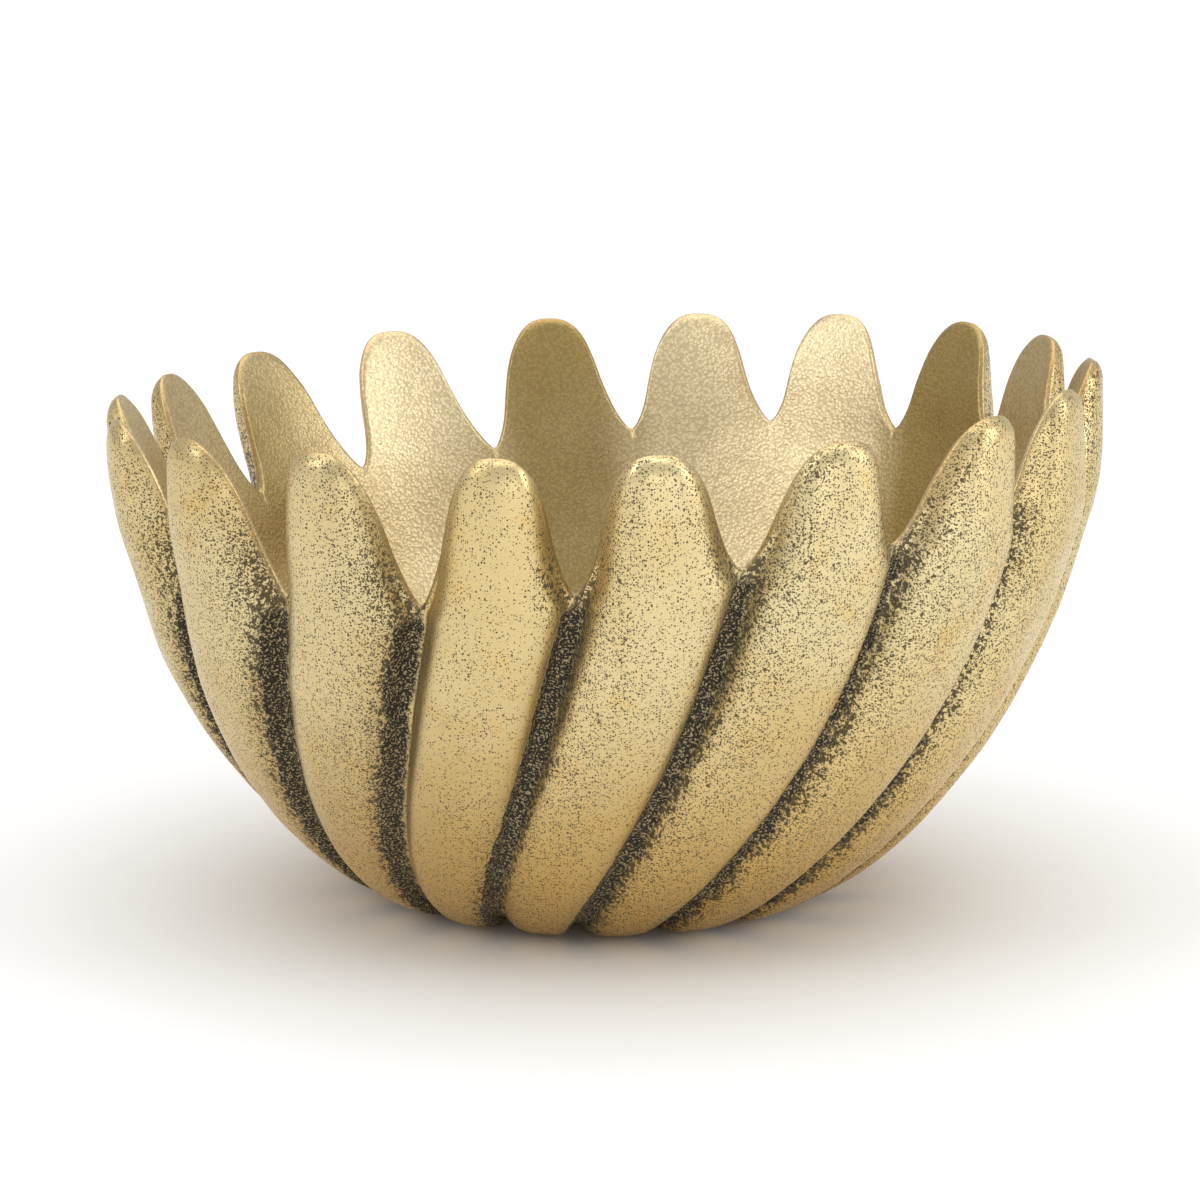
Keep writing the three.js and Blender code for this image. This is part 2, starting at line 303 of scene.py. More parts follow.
def petal_grid(petal):
    """Outer and inner points of one petal from foot to tip, and what the materials are told about each."""
    side = spaced_columns()[None, :]
    left, right, tip = notch_arc(petal), notch_arc(petal + 1), tip_arc(petal)

    wall_rise = (np.arange(WALL_ROWS + 1) / WALL_ROWS)[:, None] ** WALL_ROW_EASE
    free_rise = (np.arange(1, PETAL_ROWS + 1) / PETAL_ROWS)[:, None]
    free_rise = 1 - (1 - free_rise) ** PETAL_ROW_EASE

    foot_across = np.broadcast_to(side, (WALL_ROWS + 1, COLUMNS + 1))
    wall_arc = wall_rise * mix(left, right, (foot_across + 1) / 2)

    disc = side * np.sqrt(1 - free_rise**2 / 2)
    height = free_rise * np.sqrt(1 - side**2 / 2)
    span = np.sqrt(np.maximum(1 - height**2, 0))
    sideways = np.divide(disc, span, out=np.zeros_like(disc), where=span > TINY)
    sideways = np.clip(sideways, -1, 1)
    free_across = sideways * outline_at(height)
    free_arc = mix(mix(left, right, (free_across + 1) / 2), tip, height)
    upward = np.clip(height - TIP_DOME, 0, 1) / (1 - TIP_DOME)
    free_dome = np.sqrt(1 - (1 - sideways**2) * (1 - upward**2)) * np.where(side < 0, -1, 1)

    across = np.vstack([foot_across, free_across])
    arc = np.vstack([wall_arc, free_arc])
    dome = np.vstack([foot_across, free_dome])
    rise = np.vstack([np.zeros_like(foot_across), height])

    # The bottoms of the notches are rounded.
    half_width = math.radians(PITCH / 2) * (RIM_RADIUS - CREST_AT_FOOT)
    opening = (free_arc[-1, COLUMNS // 2] - left) * GAP_EASE / (GAP_SHARE * half_width)
    notches = mix(left, right, (across + 1) / 2)
    below = np.maximum(notches - arc, 0)
    free_reach = np.maximum(arc - notches, 0)
    reach = (1 - np.abs(across)) * half_width * opening + below
    arc = arc + np.sqrt(reach**2 + NOTCH_ROUND**2) - reach

    # Distance from each place to the free outline.
    outline = np.concatenate([arc[WALL_ROWS:, 0], arc[-1, :], arc[WALL_ROWS:, -1]])
    outline_x = np.concatenate([across[WALL_ROWS:, 0], across[-1, :], across[WALL_ROWS:, -1]])
    outline_x = outline_x * half_width
    to_edge = np.full(arc.shape, np.inf)
    for x, y in zip(outline_x, outline):
        to_edge = np.minimum(to_edge, np.hypot(across * half_width - x, arc - y))

    even = tip_azimuth(petal) + across * PITCH / 2
    share = np.minimum(arc / rim_arc(even), 1)
    from_notch = free_reach + below
    azimuth = even + swirl_at(share) + waves(PETAL_TURNS, even)
    azimuth = azimuth + waves(TIP_TURNS, tip_azimuth(petal)) * rise
    shift = NOTCH_SHIFT * np.exp(-((from_notch / NOTCH_SHIFT_REACH) ** 2))
    thick = crest_thickness(share)
    web = web_thickness(share)
    soft = smooth(free_reach - below, -SOFT_BELOW, SOFT_ABOVE)
    depth = (thick - web) * groove_share(dome, soft, np.clip(rise / FREE_EASE, 0, 1))
    outer = place_at(arc, azimuth, depth + web * OUTER_SHARE * roll_share(to_edge, OUTER_ROLL))
    inner = place_at(arc, azimuth, thick - web * INNER_SHARE * roll_share(to_edge, INNER_ROLL))
    outer[..., 0] += shift
    inner[..., 0] += shift
    radius = np.hypot(outer[..., 0], outer[..., 1])
    facts = {
        "from_left": (across + 1) * radius * math.radians(PITCH / 2),
        "to_right": (1 - across) * radius * math.radians(PITCH / 2),
        "across": dome,
        "share": share,
        "to_edge": to_edge,
        "around": np.radians(azimuth) * RIM_RADIUS,
        "along": arc,
        "above": free_reach - below,
        # painted light and shade of the inside panel, per petal
        "lining_shading": blended(LINING_SHADING, petal, across),
        "wear": blended(WEAR, petal, across),
        "turned": smooth(-np.sin(np.radians(azimuth)), *PATINA_TURN),
    }
    return outer, inner, facts


def wobbled(points, normals):
    """Moves points in or out by slow noise, as a sand casting is uneven."""
    moved = points.copy()
    for index, (point, normal) in enumerate(zip(points, normals)):
        slow = noise.noise(Vector(point / WOBBLE_SIZE))
        small = noise.noise(Vector(point / WOBBLE_SIZE * SMALL_WOBBLE_COUNT))
        moved[index] += normal * (slow + SMALL_WOBBLE_SHARE * small) * WOBBLE
    return moved


class Shell:
    """Collects points, faces, and the facts that each corner of a face carries."""

    def __init__(self):
        self.points = []
        self.count = 0
        self.faces = []
        self.facts = {}
        self.caps = []  # the two many-sided faces in the middle, underside first

    def add_points(self, points):
        points = np.asarray(points).reshape(-1, 3)
        first = self.count
        self.points.append(points)
        self.count += len(points)
        return np.arange(first, self.count)

    def add_quads(self, corners, facts):
        """corners: (n, 4) point numbers; facts: name to (n, 4) values."""
        self.faces.append(corners)
        for name, values in facts.items():
            self.facts.setdefault(name, []).append(np.asarray(values, float).reshape(-1))


def corners_of(grid, flip):
    """The four corners of every cell of a grid, anticlockwise seen from the grid's outer side."""
    a, b, c, d = grid[:-1, :-1], grid[:-1, 1:], grid[1:, 1:], grid[1:, :-1]
    order = [a, d, c, b] if flip else [a, b, c, d]
    return np.stack([part.reshape(-1) for part in order], axis=1)


def build_casting():
    shell = Shell()
    petals = [petal_grid(petal) for petal in range(PETALS)]
    layers = []
    for layer in range(2):
        numbers = []
        for petal in range(PETALS):
            grid = petals[petal][layer]
            index = np.full(grid.shape[:2], -1)
            wall = shell.add_points(grid[: WALL_ROWS + 1, :-1])
            free = shell.add_points(grid[WALL_ROWS + 1 :])
            index[: WALL_ROWS + 1, :-1] = wall.reshape(WALL_ROWS + 1, COLUMNS)
            index[WALL_ROWS + 1 :] = free.reshape(PETAL_ROWS, COLUMNS + 1)
            numbers.append(index)
        for petal in range(PETALS):
            following = numbers[(petal + 1) % PETALS]
            numbers[petal][: WALL_ROWS + 1, -1] = following[: WALL_ROWS + 1, 0]
        layers.append(numbers)

    for petal in range(PETALS):
        outer, inner, facts = petals[petal]
        for layer in range(2):
            corner_facts = {name: corners_of(values, layer == 1) for name, values in facts.items()}
            corner_facts["inside"] = np.full_like(corner_facts["share"], float(layer))
            shell.add_quads(corners_of(layers[layer][petal], layer == 1), corner_facts)
        add_edge(shell, petal, layers, outer, inner, facts)

    add_disc(shell, layers[0], petals, UNDERSIDE_LEVEL, True)
    add_disc(shell, layers[1], petals, FOOT_LEVEL + CREST_AT_FOOT, False)
    return shell


def outline_cells(rows, columns):
    """Grid places up the right side of a free petal, over its tip and down its left side."""
    up = [(row, columns) for row in range(WALL_ROWS, rows)]
    over = [(rows - 1, column) for column in range(columns - 1, -1, -1)]
    down = [(row, 0) for row in range(rows - 2, WALL_ROWS - 1, -1)]
    return up + over + down


def add_edge(shell, petal, layers, outer, inner, facts):
    """The rounded edge of a free petal, between its outside and its inside."""
    rows, columns = outer.shape[0], COLUMNS
    cells = outline_cells(rows, columns)
    middle = (outer[-1, columns // 2] + outer[WALL_ROWS, columns // 2]) / 2
    first = [layers[0][petal][cell] for cell in cells]
    last = [layers[1][petal][cell] for cell in cells]
    strips = [np.array(first)]
    for step in range(1, EDGE_STEPS):
        t = step / EDGE_STEPS
        points = []
        for place, cell in enumerate(cells):
            before = outer[cells[max(place - 1, 0)]]
            after = outer[cells[min(place + 1, len(cells) - 1)]]
            along = after - before
            through = inner[cell] - outer[cell]
            outward = np.cross(through, along)
            outward /= max(np.linalg.norm(outward), TINY)
            if np.dot(outward, outer[cell] - middle) < 0:
                outward = -outward
            ends = min(place, len(cells) - 1 - place)
            bulge = EDGE_BULGE * math.sin(math.pi * t) * min(ends / EDGE_TAPER, 1)
            points.append(mix(outer[cell], inner[cell], t) + outward * bulge)
        strips.append(shell.add_points(points))
    strips.append(np.array(last))
    for step in range(EDGE_STEPS):
        low, high = strips[step], strips[step + 1]
        corners = np.stack([low[:-1], high[:-1], high[1:], low[1:]], axis=1)
        edge_facts = {}
        for name, values in facts.items():
            line = np.array([values[cell] for cell in cells])
            edge_facts[name] = np.stack([line[:-1], line[:-1], line[1:], line[1:]], axis=1)
        edge_facts["inside"] = np.full((len(corners), 4), (step + 0.5) / EDGE_STEPS)
        shell.add_quads(corners, edge_facts)


def add_disc(shell, numbers, petals, level, below):
    """Closes the bowl at the foot with rings that shrink to the middle."""
    layer = 0 if below else 1
    rim = np.concatenate([numbers[petal][0, :-1] for petal in range(PETALS)])
    rim_points = np.concatenate([petals[petal][layer][0, :-1] for petal in range(PETALS)])
    flat = rim_points.copy()
    flat[:, 2] = level
    scale = np.hypot(flat[:, 0], flat[:, 1])
    rings = [rim]
    for share in UNDERSIDE_RINGS if below else FLOOR_RINGS:
        ring = flat.copy()
        ring[:, :2] *= (share * UNDERSIDE_RADIUS / scale)[:, None]
        rings.append(shell.add_points(ring))
    for low, high in zip(rings[:-1], rings[1:]):
        a, b = low, np.roll(low, -1)
        c, d = np.roll(high, -1), high
        order = [d, c, b, a] if below else [a, b, c, d]
        corners = np.stack(order, axis=1)
        facts = {name: np.full(corners.shape, float(value)) for name, value in DISC_FACTS.items()}
        facts["inside"] = np.full(corners.shape, float(not below))
        places = np.concatenate(shell.points)[corners]
        facts["around"] = places[..., 0]
        facts["along"] = places[..., 1]
        shell.add_quads(corners, facts)
    # The middle is closed by one many-sided face.
    ring = rings[-1]
    shell.caps.append(ring[::-1] if below else ring)


def casting_mesh(shell):
    points = np.concatenate(shell.points)
    quads = np.concatenate(shell.faces)
    facts = {name: np.concatenate(values) for name, values in shell.facts.items()}
    mesh = bpy.data.meshes.new("petal_bowl_casting")
    loops = np.concatenate([quads.reshape(-1)] + shell.caps)
    sizes = np.concatenate([np.full(len(quads), 4), [len(ring) for ring in shell.caps]])
    mesh.vertices.add(len(points))
    mesh.loops.add(len(loops))
    mesh.polygons.add(len(sizes))
    mesh.vertices.foreach_set("co", (points * MM).reshape(-1))
    mesh.loops.foreach_set("vertex_index", loops.astype(np.int32))
    starts = np.concatenate([[0], np.cumsum(sizes)[:-1]])
    mesh.polygons.foreach_set("loop_start", starts.astype(np.int32))
    mesh.update(calc_edges=True)
    mesh.validate()
    for name, values in facts.items():
        layer = mesh.attributes.new(name, "FLOAT", "CORNER")
        spare = len(loops) - len(values)
        full = np.concatenate([values, np.full(spare, float(DISC_FACTS.get(name, 0)))])
        if name == "inside":
            full[-len(shell.caps[1]) :] = 1
        layer.data.foreach_set("value", full.astype(np.float32))
    mesh.polygons.foreach_set("use_smooth", np.ones(len(sizes), bool))
    return mesh


def make_casting():
    shell = build_casting()
    mesh = casting_mesh(shell)
    weld(mesh)
    count = len(mesh.vertices)
    co = np.zeros(count * 3, np.float32)
    normal = np.zeros(count * 3, np.float32)
    mesh.vertices.foreach_get("co", co)
    mesh.vertices.foreach_get("normal", normal)
    moved = wobbled(co.reshape(-1, 3) / MM, normal.reshape(-1, 3))
    moved[:, 2] = np.maximum(moved[:, 2], FOOT_LEVEL)
    mesh.vertices.foreach_set("co", (moved * MM).astype(np.float32).reshape(-1))
    mesh.update()
    casting = bpy.data.objects.new("petal_bowl_casting", mesh)
    bpy.context.scene.collection.objects.link(casting)
    return casting


def weld(mesh):
    """Joins points that meet, such as those of two edge bands at the bottom of a notch."""
    built = bmesh.new()
    built.from_mesh(mesh)
    bmesh.ops.remove_doubles(built, verts=built.verts, dist=WELD_DISTANCE * MM)
    built.to_mesh(mesh)
    built.free()
    mesh.update()


# ---------------------------------------------------------------- material graphs

DOT_CHANCE = (0.85, 1.5)  # a cell's chance plus the cover: no dot at the first, the largest at the second
DOT_RADIUS = 0.43  # of the largest dot, as a share of its cell
DOT_SOFTNESS = 0.14


class Graph:
    """Builds a node material with short calls; every call returns an output socket."""

    def __init__(self, name):
        self.material = bpy.data.materials.new(name)
        self.material.use_nodes = True
        self.tree = self.material.node_tree
        self.tree.nodes.clear()
        self.out = self.tree.nodes.new("ShaderNodeOutputMaterial")
        self.shader = self.tree.nodes.new("ShaderNodeBsdfPrincipled")
        self.tree.links.new(self.shader.outputs[0], self.out.inputs["Surface"])

    def put(self, socket, value):
        if isinstance(value, bpy.types.NodeSocket):
            self.tree.links.new(value, socket)
        elif value is not None:
            socket.default_value = value

    def fact(self, name):
        node = self.tree.nodes.new("ShaderNodeAttribute")
        node.attribute_name = name
        return node.outputs["Fac"]

    def position(self):
        return self.tree.nodes.new("ShaderNodeTexCoord").outputs["Object"]

    def vector(self, x, y, z):
        node = self.tree.nodes.new("ShaderNodeCombineXYZ")
        for socket, value in zip(node.inputs, (x, y, z)):
            self.put(socket, value)
        return node.outputs[0]

    def math(self, operation, a, b=None):
        node = self.tree.nodes.new("ShaderNodeMath")
        node.operation = operation
        self.put(node.inputs[0], a)
        self.put(node.inputs[1], b)
        return node.outputs[0]

    def add(self, a, b):
        return self.math("ADD", a, b)

    def less(self, a, b):
        return self.math("SUBTRACT", a, b)

    def times(self, a, b):
        return self.math("MULTIPLY", a, b)

    def most(self, a, b):
        return self.math("MAXIMUM", a, b)

    def about_half(self, value, size):
        """Noise of 0 to 1 as a push of up to half of size either way."""
        return self.times(self.add(value, -0.5), size)

    def noise(self, where, size, detail=2.0, rough=0.5, stretch=None):
        """Noise whose features are about size across, in the units of where."""
        node = self.tree.nodes.new("ShaderNodeTexNoise")
        if stretch:
            squeeze = self.tree.nodes.new("ShaderNodeMapping")
            squeeze.inputs["Scale"].default_value = stretch
            self.put(squeeze.inputs["Vector"], where)
            where = squeeze.outputs[0]
        self.put(node.inputs["Vector"], where)
        node.inputs["Scale"].default_value = 1 / size
        node.inputs["Detail"].default_value = detail
        node.inputs["Roughness"].default_value = rough
        return node.outputs["Fac"]

    def dots(self, where, size, cover):
        """Round dots of uneven radius, at most one in a cell about size across; cover says how many."""
        node = self.tree.nodes.new("ShaderNodeTexVoronoi")
        self.put(node.inputs["Vector"], where)
        node.inputs["Scale"].default_value = 1 / size
        split = self.tree.nodes.new("ShaderNodeSeparateColor")
        self.put(split.inputs[0], node.outputs["Color"])
        chance = self.add(split.outputs[0], cover)
        radius = self.ramp(chance, *DOT_CHANCE, 0, DOT_RADIUS)
        return self.ramp(self.less(radius, node.outputs["Distance"]), 0, DOT_SOFTNESS)

    def cells(self, where, size):
        """Distance from the middle of the nearest of many cells about size across, as a share of size."""
        node = self.tree.nodes.new("ShaderNodeTexVoronoi")
        self.put(node.inputs["Vector"], where)
        node.inputs["Scale"].default_value = 1 / size
        return node.outputs["Distance"]

    def shaken(self, where, size, amount):
        """Positions pushed about by noise, so that round dots come out ragged."""
        node = self.tree.nodes.new("ShaderNodeTexNoise")
        self.put(node.inputs["Vector"], where)
        node.inputs["Scale"].default_value = 1 / size
        push = self.tree.nodes.new("ShaderNodeVectorMath")
        push.operation = "MULTIPLY_ADD"
        self.put(push.inputs[0], node.outputs["Color"])
        push.inputs[1].default_value = (amount, amount, amount)
        self.put(push.inputs[2], where)
        return push.outputs[0]

    def ramp(self, value, low, high, start=0.0, end=1.0):
        """start at low and below, end at high and above, smooth between."""
        node = self.tree.nodes.new("ShaderNodeMapRange")
        node.interpolation_type = "SMOOTHSTEP"
        self.put(node.inputs["Value"], value)
        names = ("From Min", "From Max", "To Min", "To Max")
        for name, amount in zip(names, (low, high, start, end)):
            self.put(node.inputs[name], amount)
        return node.outputs["Result"]

    def fade(self, value, low, high):
        """1 at low and below, 0 at high and above, smooth between."""
        return self.ramp(value, low, high, 1, 0)

    def blend(self, share, a, b):
        node = self.tree.nodes.new("ShaderNodeMix")
        node.data_type = "RGBA"
        self.put(node.inputs[0], share)
        self.put(node.inputs[6], a)
        self.put(node.inputs[7], b)
        return node.outputs[2]

    def level(self, share, a, b):
        node = self.tree.nodes.new("ShaderNodeMix")
        node.data_type = "FLOAT"
        self.put(node.inputs[0], share)
        self.put(node.inputs[2], a)
        self.put(node.inputs[3], b)
        return node.outputs[0]

    def bump(self, height, depth, normal=None):
        """Relief that is depth millimetres high where height is 1."""
        node = self.tree.nodes.new("ShaderNodeBump")
        node.inputs["Strength"].default_value = 1
        node.inputs["Distance"].default_value = depth * MM
        self.put(node.inputs["Height"], height)
        self.put(node.inputs["Normal"], normal)
        return node.outputs[0]


def tint(red, green, blue):
    """An sRGB colour from 0 to 255 as a linear one."""

    def linear(value):
        share = value / 255
        return share / 12.92 if share <= 0.04045 else ((share + 0.055) / 1.055) ** 2.4

    return (linear(red), linear(green), linear(blue), 1)


GOLD = tint(216, 194, 140)
GOLD_PALE = tint(224, 206, 157)
GOLD_DEEP = tint(226, 189, 114)
AMBER = tint(190, 152, 92)
# A brown used partly as a glaze near the grooves and partly as painted shade: on the flanks, on the petals on
# the left of the bowl, and in the dips of the pebbled inside
GLAZE_AND_SHADE = tint(124, 98, 58)
SPECK = tint(44, 37, 27)
PATINA = tint(56, 51, 42)
PATINA_PALE = tint(176, 158, 120)
EDGE_GOLD = tint(184, 158, 108)
CREAM = tint(236, 218, 176)
OLIVE = tint(168, 146, 92)


# Distances from a groove's line, in millimetres: a mark is full up to the first and gone at the second.
LEFT_PATINA = (2.2, 3.6)
LEFT_SPECKS = (2.5, 8)
RIGHT_PATINA = (2.6, 3.1)
RIGHT_SPECKS = (2.5, 10)
FAR_SPECKS = (3, 28)
LEFT_WANDER = 5  # how far a border wanders in and out
RIGHT_WANDER = (1.2, 3.5)  # the same on petals that aren't turned, and on turned ones
TURNED_LEFT_PATINA = 1.6  # how much nearer the marks on the left end on turned petals, patina and specks
TURNED_LEFT_SPECKS = 2
TURNED_RIGHT_PATINA = -0.9

# Places above the notches in millimetres, and places across a petal from 0 on its crest to 1 in its groove
PATINA_TOP = (-3, 0)
SHOULDER_ABOVE = (-25, 0)
SHOULDER_ACROSS = (0.3, 1.0)
NOOK_START = (-6, 3)
NOOK_END = (8, 26)
NOOK_ACROSS = (0.3, 0.9)

# How thickly specks lie: on the least and most worn petals, inside, low and high up, and what adds to that
OUTSIDE_COVER = (0.46, 0.6)
INSIDE_COVER = 0.3
HEIGHT_COVER = (0.2, 0.85, -0.04, 0.06)
FAR_COVER = 0.32
NEAR_COVER = 0.28
SHOULDER_COVER = 0.25
NOOK_COVER = 0.3
DRIFT_COVER = 0.45
CLOUD_COVER = 0.4

# Kinds of round speck: size, then size and amount of raggedness, in metres; share of the cover, change to it
SPECK_KINDS = (
    (0.00062, 0.0005, 0.0004, 1, 0),
    (0.00044, 0.0004, 0.0003, 1, 0.02),
    (0.0012, 0.0008, 0.0012, 0.9, -0.4),
)
CRUMB_LIMIT = 0.74  # noise above this is a crumb, and near a groove noise above this less the next one
CRUMB_SPREAD = 0.27
NOOK_CRUMBS = 0.8
CRUMB_SOFTNESS = 0.03
PIT_LIMIT = (0.81, 0.84)
TURNED_PITS = 0.03
SPECK_DARKNESS = 0.86
SPECK_DIRT = 0.8
INSIDE_SPECKS = 0.35
EDGE_SPECKS = (0, 0.6, 0.6, 1)

SHEET_GAP = 400  # millimetres that keep the scratches of the inside apart from those of the outside

# Heights of the relief, in millimetres
PEBBLE_RELIEF = 0.07
SCRATCH_RELIEF = 0.006
SPECK_RELIEF = 0.05
CRUST_RELIEF = 0.25

FACTS = (
    "from_left",
    "to_right",
    "across",
    "share",
    "to_edge",
    "inside",
    "above",
    "lining_shading",
    "wear",
    "turned",
    "around",
    "along",
)


def patina_places(g, here):
    """Where patina covers the metal, and the near and far zones beside it where specks thicken."""
    turned = here["turned"]
    ragged = here["ragged"]
    left = g.add(here["from_left"], g.about_half(ragged, LEFT_WANDER))
    left = g.add(left, g.times(turned, TURNED_LEFT_PATINA))
    right = g.add(here["to_right"], g.about_half(ragged, g.level(turned, *RIGHT_WANDER)))
    left_patina = g.fade(left, *LEFT_PATINA)
    right_patina = g.fade(g.add(right, g.times(turned, TURNED_RIGHT_PATINA)), *RIGHT_PATINA)
    left_specks = g.fade(g.add(left, g.times(turned, TURNED_LEFT_SPECKS)), *LEFT_SPECKS)
    right_specks = g.times(g.fade(right, *RIGHT_SPECKS), turned)
    far = g.fade(g.level(turned, here["from_left"], here["to_right"]), *FAR_SPECKS)
    here["closed"] = g.fade(here["above"], *PATINA_TOP)
    here["groove"] = g.times(g.most(left_patina, right_patina), g.times(here["outside"], here["closed"]))
    here["near"] = g.times(g.most(left_specks, right_specks), here["outside"])
    here["far"] = g.times(far, here["outside"])


def speck_cover(g, here):
    """How thickly specks lie, with more on the free petals' shoulders and in the nooks above the notches."""
    shoulder = g.ramp(g.math("ABSOLUTE", here["across"]), *SHOULDER_ACROSS)
    shoulder = g.times(shoulder, g.ramp(here["above"], *SHOULDER_ABOVE))
    shoulder = g.times(shoulder, g.times(here["outside"], here["wear"]))
    nook = g.times(g.ramp(here["above"], *NOOK_START), g.fade(here["above"], *NOOK_END))
    here["nook"] = g.times(g.times(nook, g.ramp(here["across"], *NOOK_ACROSS)), here["outside"])
    cover = g.level(here["inside"], g.ramp(here["wear"], 0, 1, *OUTSIDE_COVER), INSIDE_COVER)
    cover = g.add(cover, g.ramp(here["share"], *HEIGHT_COVER))
    cover = g.add(cover, g.times(here["far"], FAR_COVER))
    cover = g.add(cover, g.times(here["near"], NEAR_COVER))
    cover = g.add(cover, g.times(shoulder, SHOULDER_COVER))
    cover = g.add(cover, g.times(here["nook"], NOOK_COVER))
    cover = g.add(cover, g.about_half(here["drift"], DRIFT_COVER))
    return g.add(cover, g.about_half(here["cloud"], CLOUD_COVER))


def speck_marks(g, here, spot):
    """Round specks of several sizes, crumbs beside the patina, and a few larger pits."""
    cover = speck_cover(g, here)
    crumb_zone = g.most(here["near"], g.times(here["nook"], NOOK_CRUMBS))
    crumb_limit = g.less(CRUMB_LIMIT, g.times(crumb_zone, CRUMB_SPREAD))
    marks = g.ramp(g.less(g.noise(spot, 0.0011, 2.5, 0.62), crumb_limit), 0, CRUMB_SOFTNESS)
    for size, ragged_size, ragged_amount, weight, change in SPECK_KINDS:
        shaken = g.shaken(spot, ragged_size, ragged_amount)
        marks = g.most(marks, g.dots(shaken, size, g.add(g.times(cover, weight), change)))
    pits = g.add(g.noise(spot, 0.0024, 2, 0.5), g.times(here["turned"], TURNED_PITS))
    marks = g.most(marks, g.ramp(pits, *PIT_LIMIT))
    weaker = g.times(g.level(here["inside"], 1, INSIDE_SPECKS), g.ramp(here["to_edge"], *EDGE_SPECKS))
    return g.times(marks, weaker)


def lining_colour(g, here):
    """The pebbled inside with painted light and shade: each panel from olive on the darker petals to cream on
    the paler ones, and painted shade in the dips between the pebbles.
    """
    tone = g.ramp(g.add(here["lining_shading"], g.about_half(here["cloud"], 0.8)), 0, 1)
    lining_shading = g.blend(tone, OLIVE, CREAM)
    # Painted shade: the dips between the pebbles are darkened with brown
    return g.blend(g.times(g.ramp(here["pebble"], 0.3, 0.62), 0.3), lining_shading, GLAZE_AND_SHADE)


def bare_colour(g, here, spot):
    """Bare metal: deeper gold low down, brown near the grooves that is partly a glaze and partly painted
    shade, painted shade on the petals on the left of the bowl, amber and polish along thin edges.
    """
    share = here["share"]
    gold = g.blend(g.ramp(here["cloud"], 0.35, 0.65), GOLD, GOLD_PALE)
    gold = g.blend(g.times(g.ramp(here["drift"], 0.52, 0.75), 0.5), gold, GOLD_DEEP)
    gold = g.blend(g.times(g.fade(share, 0.1, 0.75), 0.9), gold, GOLD_DEEP)
    # Brown near the grooves below the notches: partly a glaze in the hollows, partly painted shade of the
    # flanks
    gold = g.blend(g.times(g.times(here["near"], here["closed"]), 0.1), gold, GLAZE_AND_SHADE)
    # Painted shade: the petals on the left of the bowl are darkened with brown above their lowest part
    gold = g.blend(g.times(g.times(here["turned"], g.ramp(share, 0.15, 0.4)), 0.15), gold, GLAZE_AND_SHADE)
    bare = g.blend(here["inside"], gold, lining_colour(g, here))
    amber = g.times(g.fade(here["to_edge"], 1, 5), g.ramp(g.noise(spot, 0.05, 2), 0.5, 0.7, 0, 0.35))
    bare = g.blend(amber, bare, AMBER)
    rim_tone = g.blend(g.ramp(g.noise(spot, 0.02, 2), 0.4, 0.6), EDGE_GOLD, AMBER)
    return g.blend(g.times(here["polished"], 0.4), bare, rim_tone)


def brass_relief(g, here, spot, specks, grain):
    """Pebbled skin, brush scratches, sunken specks and a rough crust."""
    sheet = g.vector(here["around"], here["along"], g.times(here["inside"], SHEET_GAP))
    scratch = g.noise(sheet, 0.35, 2, 0.6, stretch=(0.04, 1, 1))
    skin = g.bump(g.times(here["pebble"], g.level(here["inside"], -0.5, -1)), PEBBLE_RELIEF)
    skin = g.bump(scratch, SCRATCH_RELIEF, skin)
    skin = g.bump(g.times(specks, -1), SPECK_RELIEF, skin)
    return g.bump(g.times(grain, here["groove"]), CRUST_RELIEF, skin)


def brass_material():
    g = Graph("antique_brass")
    spot = g.position()
    here = {name: g.fact(name) for name in FACTS}
    here["outside"] = g.less(1, g.math("GREATER_THAN", here["inside"], 0.5))
    here["cloud"] = g.noise(spot, 0.045, 3)
    here["drift"] = g.noise(spot, 0.012, 3, 0.6)
    here["ragged"] = g.noise(spot, 0.004, 3, 0.65)
    here["pebble"] = g.cells(g.shaken(spot, 0.001, 0.0006), 0.0008)
    here["polished"] = g.fade(here["to_edge"], 0.15, 0.6)
    patina_places(g, here)
    specks = speck_marks(g, here, spot)

    # Granular patina with flecks of bare metal
    grain = g.noise(spot, 0.0006, 2, 0.7)
    flecks = g.ramp(g.noise(spot, 0.0005, 1, 0.5), 0.54, 0.62)
    crust = g.blend(flecks, PATINA, PATINA_PALE)

    colour = g.blend(g.times(specks, SPECK_DARKNESS), bare_colour(g, here, spot), SPECK)
    g.put(g.shader.inputs["Base Color"], g.blend(here["groove"], colour, crust))

    dirt = g.most(g.times(specks, SPECK_DIRT), here["groove"])
    g.put(g.shader.inputs["Metallic"], g.ramp(dirt, 0, 1, 1, 0.35))
    g.put(g.shader.inputs["Specular IOR Level"], g.ramp(dirt, 0, 1, 0.5, 0.2))
    satin = g.level(here["inside"], g.ramp(here["drift"], 0.3, 0.7, 0.33, 0.42), 0.4)
    satin = g.level(here["polished"], satin, 0.34)
    g.put(g.shader.inputs["Roughness"], g.level(dirt, satin, 0.62))
    g.put(g.shader.inputs["Normal"], brass_relief(g, here, spot, specks, grain))
    return g.material


PAD_GREY = tint(150, 146, 138)
PAD_GREY_PALE = tint(172, 168, 160)
PAD_DUST = tint(196, 192, 184)
PAD_RELIEF = 0.03
FLOOR_GREY = (0.86, 0.86, 0.86, 1)
FLOOR_GREY_PALE = (0.9, 0.9, 0.9, 1)


